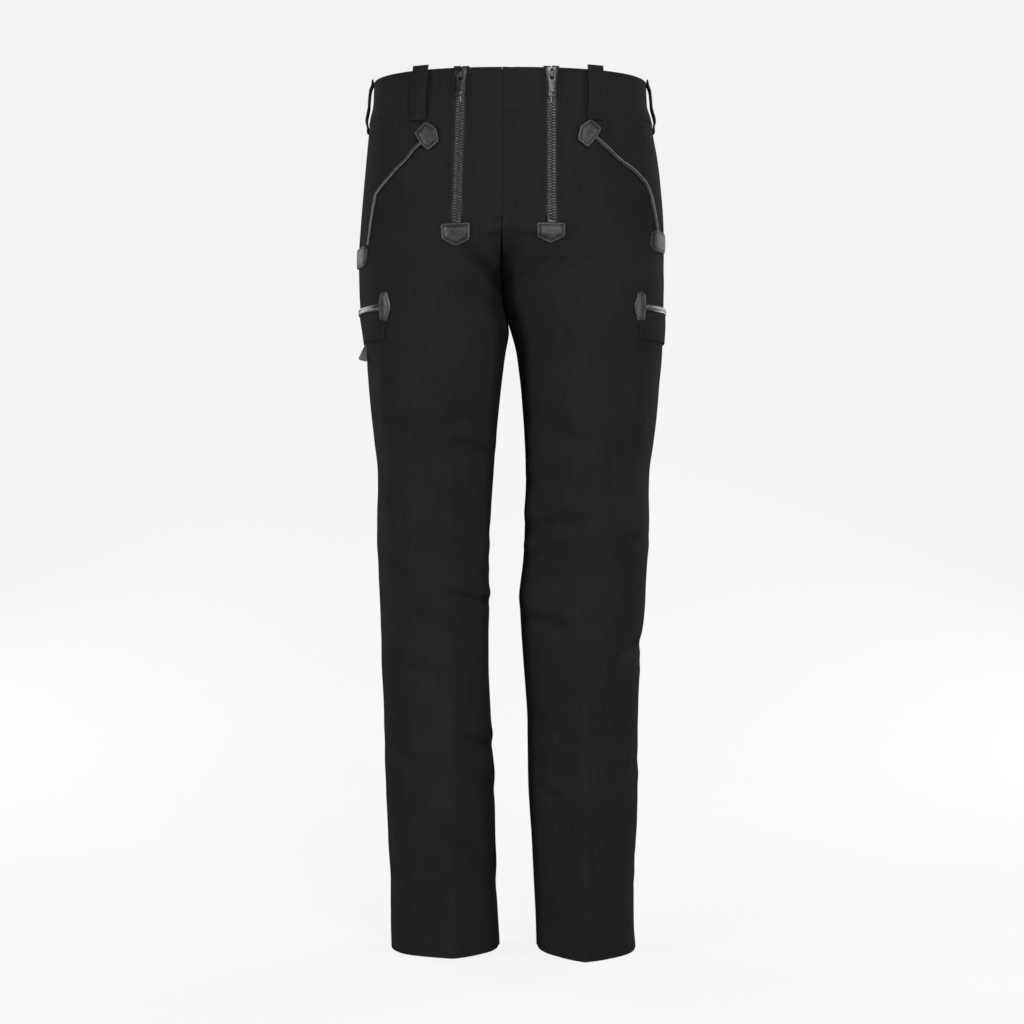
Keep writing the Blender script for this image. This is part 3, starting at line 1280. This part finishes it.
def hip_piping(side):
    mouth = np.array(graded(POCKET_MOUTH[side], side))
    lengths = run_length(mouth)
    mouth = along_path(mouth, lengths, np.linspace(0, lengths[-1], 110))
    x, z = (smooth(column, np.hanning(13), mode="reflect", reflect_type="odd")
            for column in mouth.T)
    turns = HALF[side].turn_at(x, z)
    make("v_piping", strip(side, turns, z, PIPING_SECTION), LEATHER, "pocket_piping", side)
    # stitched down on the side nearer the centre front
    points, normals, across = path_frame(side, turns, z, 0.1)
    inward = 1 if across[50, 0] * side < 0 else -1
    stitch("root", points + across * 4.3 * inward, normals, pitch=3.0, length=2.1)


def hip_tabs(side):
    part = tab(facing_place(side), graded(TOP_TAB[side]), 2.9, 4.7, grooves=(1.5, 3.0),
               cut=2.6, puff=0.55, stitch_out=4.62)
    make("v_tab_top", part, LEATHER, "pocket_tab_top", side)
    outline = [[along, up + LOW_TAB_Z[side]] for along, up in LOW_TAB]
    part = tab(side_place(side), outline, 0.3, 2.5, grooves=(1.5, 3.0), cut=3.0, puff=0.4,
               stitch_out=2.45)
    make("v_tab_low", part, LEATHER_SIDE, "pocket_tab_bottom", side)


def rule_pocket(side):
    """Long narrow pocket at the outer side of the thigh."""
    half = HALF[side]
    mouth_z = 766.5 * GRADE
    heights = rows(729 * GRADE, 762 * GRADE, 2.4)
    start = half.turn_at(side * (149 - 1.5 * smoothstep(heights / GRADE, 729, 762)), heights)

    def offset(z, across, width):
        # the upper corners dip under the tabs
        from_side = np.minimum(across, width - across)
        under_tab = (smoothstep(z, 745 * GRADE, 750.5 * GRADE)
                     * (1 - smoothstep(from_side, 9.0, 12.5)))
        return 0.5 * swell(across, width) + 0.35 * bell(across - 3, 2.5) - 2.3 * under_tab

    part = sheet(side, heights, start, 1 - start, 0.35, 1.9, roll=1.3, offset=offset)
    make("v_rule_patch", part, CLOTH, "rule_pocket_patch", side)
    turns = np.linspace(start[0] + 0.006, 1 - start[0] - 0.006, 80)
    stitch_on(side, turns, 731.2 * GRADE, 2.0)

    heights = rows(mouth_z - 158, mouth_z - 4, 6.0)
    seam = side_turn(side, heights)
    part = sheet(side, heights, half.step(seam, heights, -46.0), half.step(seam, heights, 46.0),
                 -5.9, -3.3, step=6.0, roll=1.3, offset=slack(-0.3, 0.5, 15.0, 19.0))
    make("v_rule_bag", part, LINING, "rule_pocket_bag", side)

    start = half.turn_at(side * 155.4, mouth_z)
    turns = np.linspace(start, 1 - start, 90)
    part = strip(side, turns, mouth_z, RULE_SECTION)
    make("v_rule_binding", part, LEATHER, "rule_pocket_binding", side)
    stitch_on(side, turns[4:-4], mouth_z + 0.9, 2.72, pitch=2.6, length=1.9, radius=0.24)

    tabs = [tab(facing_place(side, back), graded(RULE_TAB, side), 0.35, 2.6, grooves=(1.4,),
                stitch_out=2.5)
            for back in (False, True)]
    make("v_rule_tabs", join(tabs), LEATHER, "rule_pocket_tabs", side)


SEAT_OUTER_X, SEAT_INNER_X = 162.0, 44.0    # sides of the seat pocket, outwards


def seat_pocket(side):
    half = HALF[side]

    def edges(z, narrow=0.0):
        return (half.turn_at(side * (SEAT_OUTER_X - narrow), z, True),
                half.turn_at(side * (SEAT_INNER_X + narrow), z, True))

    low, high = z_span(f"seat_pocket_{SIDE_NAME[side]}")[0], 932.0 * GRADE
    heights = rows(low, high, 4.0)
    # the lower corners are cut off in a curve
    start, end = edges(heights, 24 * (1 - smoothstep(heights - low, -6, 15)))

    def offset(z, across, width):
        return 0.7 * swell(across, width) * smoothstep(z, low, low + 40)

    part = sheet(side, heights, start, end, 0.35, 1.85, step=4.4, roll=1.2, offset=offset)
    make("v_seat_pocket", part, CLOTH, "seat_pocket", side)
    for inset in (2.2, 7.5):
        z = np.linspace(low + 18, high - 2, 60)
        for turns, inward in zip(edges(z), (1, -1)):
            stitch_on(side, half.step(turns, z, inward * inset), z, 1.95)
        turns = np.linspace(start[0] + 0.004, end[0] - 0.004, 60)
        stitch_on(side, turns, low + inset, 1.95)

    z = 936.4 * GRADE
    turns = np.linspace(*edges(z), 80)
    part = strip(side, turns, z, SEAT_SECTION)
    make("v_seat_binding", part, LEATHER, "seat_pocket_binding", side)
    stitch_on(side, turns[2:-2], z + 0.6, 2.55, pitch=2.6, length=1.9, radius=0.24)


def label_flag():
    """Woven tag that stands out of the right side seam."""
    seam_z = 718 * GRADE
    turn = float(side_turn(RIGHT, seam_z))
    root = HALF[RIGHT].at(turn, seam_z)
    upward = np.array([0, 0, 1.0])
    outward = HALF[RIGHT].normal(turn, seam_z)
    outward[2] = 0
    outward = unit(outward)
    sideways = np.cross(upward, outward)

    def place(points, out):
        curl = (out + 0.012 * points[:, 0] ** 2)[:, None]
        return root + outward * points[:, :1] + upward * points[:, 1:] + sideways * curl

    outline = [[0.2, 11], [1.8, 11.5], [10.4, -6.8], [9.2, -9.0], [0.2, -11]]
    part = tab(place, outline, -0.5, 0.6, grooves=(1.6,), cut=1.0, gap=0.8, puff=0.1, bevel=0.3)
    make("v_label_flag", part, LABEL, "label_flag")


# ---------------------------------------------------------------- zips
class Zip:
    """Straight frame of one zip: x across, y inwards, z up from its start."""

    def __init__(self, side):
        slide, tilt = (JOINTS[f"zip_{name}_{SIDE_NAME[side]}"] for name in ("slide", "pull_tilt"))
        self.z = -np.array(slide["axis"], float)
        self.y = unit(np.cross(self.z, -np.array(tilt["axis"], float)))
        self.x = np.cross(self.y, self.z)
        hinge = np.array(tilt["pos_m"], float) * 1000
        self.origin = hinge - self.z * (SLIDER_UP + PULL_UP) + PULL_OUT * self.y

    def place(self, verts, up=0.0, inward=0.0):
        return (self.origin + verts[:, :1] * self.x + (verts[:, 1:2] + inward) * self.y
                + (verts[:, 2:] + up) * self.z)

    def repeat(self, verts, heights):
        """Copies of a set of points at each height, at the depth of the tape."""
        moves = np.stack([0 * heights, 0 * heights + TAPE_DEPTH, heights], -1)
        return self.place((verts[None] + moves[:, None]).reshape(-1, 3))


ZIPS = {side: Zip(side) for side in SIDES}
TOOTH_PITCH = 3.2
FLAP_TEETH_UP = 21.2                        # flap-side teeth below this stay on the legs
# One moulded tooth from the tape to its head: (distance from the middle of the chain,
# half height, half depth, lift)
TOOTH_SECTIONS = [
    (4.6, 0.85, 0.95, 0.0), (4.35, 1.12, 1.25, 0.0), (3.7, 1.2, 1.35, 0.02),
    (2.7, 1.05, 1.32, 0.10), (1.9, 0.74, 1.22, 0.22), (1.4, 0.66, 1.2, 0.28),
    (0.95, 0.80, 1.28, 0.34), (0.45, 0.84, 1.25, 0.38), (0.1, 0.7, 1.05, 0.40),
    (-0.25, 0.4, 0.7, 0.40)]
OCTAGON = ((-1, 0.55), (-0.55, 1), (0.55, 1), (1, 0.55),
           (1, -0.55), (0.55, -1), (-0.55, -1), (-1, -0.55))


def teeth_row(side, toward, low, high):
    """Teeth on the side of the chain where x has the sign toward."""
    tooth = np.array([(toward * x, y * depth, z * height + lift)
                      for x, height, depth, lift in TOOTH_SECTIONS for y, z in OCTAGON])
    faces = closed_tube(len(TOOTH_SECTIONS), len(OCTAGON))
    if toward > 0:
        faces = flipped(faces)
    heights = 0.9 + (TOOTH_PITCH / 2 if toward > 0 else 0) + TOOTH_PITCH * np.arange(80)
    heights = heights[(heights > low + 0.3) & (heights < high - 0.3)]
    return Part(ZIPS[side].repeat(tooth, heights),
                [[i + k * len(tooth) for i in face]
                 for k in range(len(heights)) for face in faces])


def cord(side, toward, low, high):
    """Corded tape edge that the teeth grip."""
    angle = circle(10)
    ring = np.stack([toward * (4.95 + 0.75 * np.cos(angle)), 0.8 * np.sin(angle), 0 * angle], -1)
    heights = np.linspace(low, high, 50)
    faces = closed_tube(len(heights), len(ring))
    return Part(ZIPS[side].repeat(ring, heights), flipped(faces) if toward < 0 else faces)


def tape(side, start, end, low, high, offset=None):
    """Tape between two distances outwards from the zip line, narrowed near the top."""
    half = HALF[side]
    heights = rows(low, high, 5.0)
    middle = zip_turn(side, heights)
    limit = 16 - 6.5 * smoothstep(heights, TOP_Z - 9, TOP_Z - 2)
    start, end = (half.step(middle, heights, np.clip(distance, -limit, limit))
                  for distance in (start, end))
    return sheet(side, heights, start, end, -TAPE_DEPTH - 0.35, -TAPE_DEPTH + 0.35,
                 step=2.5, roll=0.4, offset=offset)


def fold_dip(z, across, width):
    """The outer tape dips behind the fold of the flap."""
    return -1.5 * (1 - smoothstep(z, FOLD_Z, FOLD_Z + 9))


def metal_plate(loops, thickness, bevel, y=0.0, dome=None):
    """Flat part with holes from loops of [x, z] points, thickness along y.

    dome raises its front: (height, width, middle z, length)."""
    curve = bpy.data.curves.new("tmp", "CURVE")
    curve.dimensions = "2D"
    curve.fill_mode = "BOTH"
    curve.extrude = max(thickness / 2 - bevel, 0.01)
    curve.bevel_depth = bevel
    curve.bevel_resolution = 2
    curve.offset = -bevel
    for loop in loops:
        spline = curve.splines.new("POLY")
        spline.points.add(len(loop) - 1)
        for point, (loop_x, loop_z) in zip(spline.points, loop):
            point.co = (loop_x, loop_z, 0, 1)
        spline.use_cyclic_u = True
    ob = bpy.data.objects.new("tmp", curve)
    bpy.context.scene.collection.objects.link(ob)
    graph = bpy.context.evaluated_depsgraph_get()
    mesh = bpy.data.meshes.new_from_object(ob.evaluated_get(graph))
    verts = np.array([vertex.co for vertex in mesh.vertices], float)
    polygons = [list(polygon.vertices) for polygon in mesh.polygons]
    bpy.data.objects.remove(ob)
    bpy.data.meshes.remove(mesh)
    bpy.data.curves.remove(curve)
    verts = np.stack([verts[:, 0], -verts[:, 2], verts[:, 1]], -1)
    # weld the curve's separate bands
    cells = np.round(verts / 0.002).astype(int)
    _, first, welded = np.unique(cells, axis=0, return_index=True, return_inverse=True)
    welded = welded.ravel()
    verts = verts[first]
    faces = []
    for polygon in polygons:
        face = [int(welded[i]) for i in polygon]
        face = [face[i] for i in range(len(face)) if face[i] != face[i - 1]]
        if len(face) > 2:
            faces.append(face)
    if dome:
        height, width, middle, length = dome
        shape = (verts[:, 0] / width) ** 2 + ((verts[:, 2] - middle) / length) ** 2
        verts[:, 1] -= height * np.exp(-shape) * (verts[:, 1] < 0)
    return Part(verts + [0, y, 0], faces)


def mirrored(points):
    """Closed outline from its +x half, listed upwards; the middle point is shared."""
    return points + [[-x, z] for x, z in points[::-1] if x]


def slider_arch():
    """Rounded flat bar that bridges the slider from foot to head."""
    knots = np.array([(-0.9, 2.6), (-2.6, 3.6), (-4.3, 5.4), (-4.9, 8.0), (-4.9, 10.6),
                      (-4.2, 12.8), (-2.4, 14.4), (-0.9, 15.2)])    # (y, z)
    lengths = run_length(knots)
    path = along_path(knots, lengths, np.linspace(0, lengths[-1], 36))
    for _ in range(5):
        path[1:-1] = (path[:-2] + 2 * path[1:-1] + path[2:]) / 4
    tangent = unit(np.gradient(path, axis=0))
    half_width, half_thick = 1.55, 0.5
    angle = circle(10)
    across = signed_power(np.cos(angle), 0.5) * half_width
    out = signed_power(np.sin(angle), 0.5) * half_thick
    verts = [(x, y - along_z * rise, z + along_y * rise)
             for (y, z), (along_y, along_z) in zip(path, tangent)
             for x, rise in zip(across, out)]
    return Part(np.array(verts), closed_tube(len(path), len(angle), inward=True))


def slider(side):
    top, wide = SLIDER_LENGTH, 5.3          # wide: half width at the foot
    low = [[-wide, 0], [wide, 0], [wide + 1, 5], [wide + 1, top - 4], [wide - 0.6, top],
           [-wide + 0.6, top], [-wide - 1, top - 4], [-wide - 1, 5]]
    high = [[-wide + 0.8, 0], [wide - 0.8, 0], [wide + 0.9, 6], [wide + 0.9, top - 3],
            [wide - 1, top], [-wide + 1, top], [-wide - 0.9, top - 3], [-wide - 0.9, 6]]
    heart = [[-3.4, 0.2], [3.4, 0.2], [6.4, 8.0], [7.3, top - 5.0], [6.2, top - 1.2],
             [3.4, top - 0.1], [1.4, top - 0.7], [0, top - 2.1], [-1.4, top - 0.7],
             [-3.4, top - 0.1], [-6.2, top - 1.2], [-7.3, top - 5.0], [-6.4, 8.0]]
    parts = [
        metal_plate([rounded(low, 2.0, 0.8)], 1.2, 0.3, y=TAPE_DEPTH + 2.2),
        metal_plate([rounded(high, 2.2, 0.8)], 1.1, 0.35, y=TAPE_DEPTH - 2.1),
        metal_plate([rounded(heart, 2.6, 0.6)], 1.7, 0.55, y=-0.55, dome=(0.5, 5.0, 10, 7.0))]
    for sign in (-1, 1):
        rail = [[sign * (wide + 0.05), 4.5], [sign * (wide + 0.95), 4.5],
                [sign * (wide + 0.95), top - 4.5], [sign * (wide + 0.05), top - 4.5]]
        for y in (TAPE_DEPTH + 1.3, TAPE_DEPTH - 1.3):
            parts.append(metal_plate([rounded(rail, 0.3, 0.6)], 0.8, 0.15, y=y))
    parts.append(slider_arch())
    part = join(parts)
    make("v_slider", Part(ZIPS[side].place(part.verts, SLIDER_UP), part.faces), METAL,
         "zip_slider", side, body=f"slider_{SIDE_NAME[side]}")


def pull(side):
    """Pull plate with two openings, hanging on a cross pin at its hinge."""
    foot = -27.0
    outer = [[-3.4, 1.9], [-4.4, 0.8], [-4.75, -4], [-4.1, -12], [-4.3, foot + 6],
             [-4.75, foot + 3], [-3.8, foot], [3.8, foot], [4.75, foot + 3], [4.3, foot + 6],
             [4.1, -12], [4.75, -4], [4.4, 0.8], [3.4, 1.9]]
    mouth = [[-2.1, 0.8], [-2.1, -6.4], [-1.1, -7.6], [1.1, -7.6], [2.1, -6.4], [2.1, 0.8]]
    eye = [[-3.1, foot + 2], [3.1, foot + 2], [3.1, foot + 6.5], [-3.1, foot + 6.5]]
    loops = [rounded(outer, 1.6, 0.6), rounded(mouth, 0.9, 0.5)[::-1],
             rounded(eye, 1.2, 0.5)[::-1]]
    plate = metal_plate(loops, 1.35, 0.32, dome=(0.22, 1.6, -14, 5.0))
    pin_x, pin_ring, pin_radius = np.linspace(-3.3, 3.3, 9), 16, 0.68
    pin = np.array([(x, pin_radius * np.cos(angle), pin_radius * np.sin(angle))
                    for x in pin_x for angle in circle(pin_ring)])
    part = join([plate, Part(pin, closed_tube(len(pin_x), pin_ring))])
    verts = ZIPS[side].place(part.verts, SLIDER_UP + PULL_UP, -PULL_OUT)
    make("v_pull", Part(verts, part.faces), METAL, "zip_pull", side,
         body=f"pull_{SIDE_NAME[side]}")


def zip_chain(side):
    """Teeth, tapes and bottom stop; the outer side of the chain has x of the side's sign."""
    top = SLIDER_UP + 11
    teeth = join([teeth_row(side, side, 0.0, top), teeth_row(side, -side, 0.0, FLAP_TEETH_UP)])
    make("v_teeth_outer", teeth, TEETH, "zip_teeth_outer", side)
    part = join([cord(side, side, 0.0, top), cord(side, -side, 0.0, FLAP_TEETH_UP),
                 tape(side, 0.7, 16.0, FOLD_Z - 14, TOP_Z + 2.4, offset=fold_dip),
                 tape(side, -5.8, -0.7, FOLD_Z - 14, FOLD_Z + 8.4)])
    make("v_tape_outer", part, TAPE, "zip_tape_outer", side)
    make("v_teeth_flap", teeth_row(side, -side, FLAP_TEETH_UP, top), TEETH,
         "zip_teeth_flap", side, body="front_flap")
    part = join([cord(side, -side, FLAP_TEETH_UP, top),
                 tape(side, -16.0, -0.7, FOLD_Z + 9, TOP_Z + 2.0)])
    make("v_tape_flap", part, TAPE, "zip_tape_flap", side, body="front_flap")
    outline = [[-4.5, -2.2], [4.5, -2.2], [4.5, -0.2], [-4.5, -0.2]]
    stop = metal_plate([rounded(outline, 0.7, 0.5)], 2.4, 0.4, y=TAPE_DEPTH)
    make("v_stops", Part(ZIPS[side].place(stop.verts), stop.faces), TEETH, "zip_stops", side)


def zip_end_tab(side):
    part = tab(facing_place(side), graded(ZIP_TAB[side]), 0.3, 2.2, grooves=(1.5, 3.0),
               stitch_out=2.12)
    make("v_zip_end", part, LEATHER, "zip_end_tab", side)


# ---------------------------------------------------------------- topstitching
BESIDE_ZIP = SLOT + 4.6
FRONT_SEAM_STITCH = 11.5                    # from the centre front seam, on the left
BACK_SEAM_STITCH = 2.2


def topstitching():
    flap_z = np.linspace(FOLD_Z + 16, BAND_Z - 2, 160)
    leg_z = np.linspace(FOLD_Z - 20, BAND_Z - 2, 180)
    band_z = np.linspace(BAND_Z + 2, TOP_Z - 3, 50)
    band_out = 0.4 + np.interp(band_z, [BAND_Z, BAND_Z + 20, TOP_Z], [0.1, 0.6, 0.1])
    for side in SIDES:
        half = HALF[side]
        for away, group, z in ((BESIDE_ZIP, "root", leg_z), (-BESIDE_ZIP, "flap", flap_z)):
            stitch_on(side, zip_turn(side, z, away), z, group=group)
            stitch_on(side, zip_turn(side, band_z, away), band_z, band_out, group)
        # waistband, above its seam and below its top edge
        for z in (BAND_Z + 2.6, BAND_Z + (TOP_Z - BAND_Z - 3.4)):
            middle = zip_turn(side, z)
            turns = np.linspace(half.step(middle, z, SLOT + 2), 0.998, 400)
            stitch_on(side, turns, z, 0.76)
            turns = np.linspace(0.001, half.step(middle, z, -SLOT - 2), 60)
            stitch_on(side, turns, z, 0.76, "flap")
        # centre back seam
        z = np.linspace(CROTCH_Z + 20, BAND_Z - 2, 160)
        stitch_on(side, half.step(1.0, z, -BACK_SEAM_STITCH), z)
    # centre front seam, on the flap and below it
    below_z = np.linspace(CROTCH_Z + 26, FOLD_Z - 14, 60)
    for z, group in ((flap_z, "flap"), (below_z, "root")):
        stitch_on(LEFT, HALF[LEFT].step(0.0, z, FRONT_SEAM_STITCH), z, group=group)


# ---------------------------------------------------------------- build
for each_side in SIDES:
    for build_piece in (front_panel, back_panel, flap_panel, waistband, hem, hip_facing,
                        hip_bag, hip_piping, hip_tabs, rule_pocket, seat_pocket):
        build_piece(each_side)
flap_band()
belt_loops()
label_flag()
for each_side in SIDES:
    for build_piece in (zip_chain, slider, pull, zip_end_tab):
        build_piece(each_side)
topstitching()
make("v_stitching", stitch_part("root"), THREAD)
make("v_stitching_flap", stitch_part("flap"), THREAD, body="front_flap")

# ---------------------------------------------------------------- studio, in metres
scene = bpy.context.scene
PAPER_GLOW_SEEN, PAPER_GLOW_CAST = 0.835, 0.0   # glow for the camera, and for the light it casts
WORLD_SEEN, WORLD_CAST = 0.90, 0.035


def seen_or_cast(nodes, extra_seen, cast):
    """A strength that is higher for camera rays."""
    path = nodes.node("LightPath")
    return nodes.math("MULTIPLY_ADD", path.outputs["Is Camera Ray"], extra_seen, cast)


def paper_material():
    mat = Material("studio_paper")
    mottle = mat.noise(mat.coords((1.0, 1.0, 1.0), uv=False), scale=1.2)
    return mat.finish({
        "Base Color": mat.mix(mottle, (0.21, 0.21, 0.21), (0.22, 0.22, 0.22)),
        "Roughness": 0.9,
        "Specular IOR Level": 0.05,
        "Emission Color": (1, 1, 1, 1),
        "Emission Strength": seen_or_cast(mat, PAPER_GLOW_SEEN, PAPER_GLOW_CAST)})


def backdrop():
    """Paper floor that curves up into a wall behind the trousers."""
    floor_end, radius, half_width, drop = 1.6, 1.6, 6.0, 0.0006
    section = [(-7.0, 0.0), (-3.0, 0.0), (0.0, 0.0), (floor_end, 0.0)]      # (y, z)
    for angle in np.linspace(0, math.pi / 2, 14)[1:]:
        section.append((floor_end + radius * math.sin(angle), radius - radius * math.cos(angle)))
    section.append((floor_end + radius, 6.0))
    verts = [(x, y, z - drop) for y, z in section for x in (-half_width, half_width)]
    faces = [[2 * k, 2 * k + 1, 2 * k + 3, 2 * k + 2] for k in range(len(section) - 1)]
    mesh = bpy.data.meshes.new("backdrop")
    mesh.from_pydata(verts, [], faces)
    mesh.update()
    mesh.polygons.foreach_set("use_smooth", np.ones(len(mesh.polygons), bool))
    ob = bpy.data.objects.new("backdrop", mesh)
    mesh.materials.append(paper_material())
    scene.collection.objects.link(ob)


# name, place, height aimed at on the z axis, (width, height), watts
LIGHTS = [
    ("side_right", (2.6, -1.5, 0.65), 0.45, (0.7, 1.5), 23),
    ("side_left", (-2.6, -1.4, 0.65), 0.45, (0.7, 1.5), 31),
    ("front_top", (0.4, -1.9, 2.2), 0.45, (0.5, 0.3), 13),
    ("back_right", (1.7, 1.9, 1.3), 0.5, (0.7, 1.3), 20),
    ("back_left", (-1.7, 1.9, 1.3), 0.5, (0.7, 1.3), 18),
    ("front_gloss", (0.15, -2.9, 1.22), 0.9, (0.35, 0.25), 5),
    ("front_low", (0.35, -2.9, 0.42), 0.4, (0.4, 0.3), 18)]


def area_light(name, place, aim_z, size, watts):
    lamp = bpy.data.lights.new(name, "AREA")
    lamp.shape = "RECTANGLE"
    lamp.size, lamp.size_y = size
    lamp.energy = watts
    ob = bpy.data.objects.new(name, lamp)
    ob.location = place
    ob.rotation_mode = "QUATERNION"
    aim = Vector((0.0, 0.0, aim_z)) - Vector(place)
    ob.rotation_quaternion = aim.to_track_quat("-Z", "Y")
    ob.visible_camera = False
    scene.collection.objects.link(ob)


def world():
    studio = bpy.data.worlds.new("studio")
    studio.use_nodes = True
    background = studio.node_tree.nodes["Background"]
    background.inputs[0].default_value = (1, 1, 1, 1)
    nodes = Nodes(studio.node_tree)
    nodes.feed(background.inputs[1], seen_or_cast(nodes, WORLD_SEEN - WORLD_CAST, WORLD_CAST))
    scene.world = studio


def camera():
    lens = bpy.data.cameras.new("camera")
    lens.lens, lens.sensor_width = 75.0, 36.0
    ob = bpy.data.objects.new("camera", lens)
    ob.location = (0.0, -2.6, 0.526)
    ob.rotation_euler = (math.pi / 2, 0, 0)
    scene.collection.objects.link(ob)
    scene.camera = ob


backdrop()
for light_row in LIGHTS:
    area_light(*light_row)
world()
camera()
scene.view_settings.view_transform = "Standard"
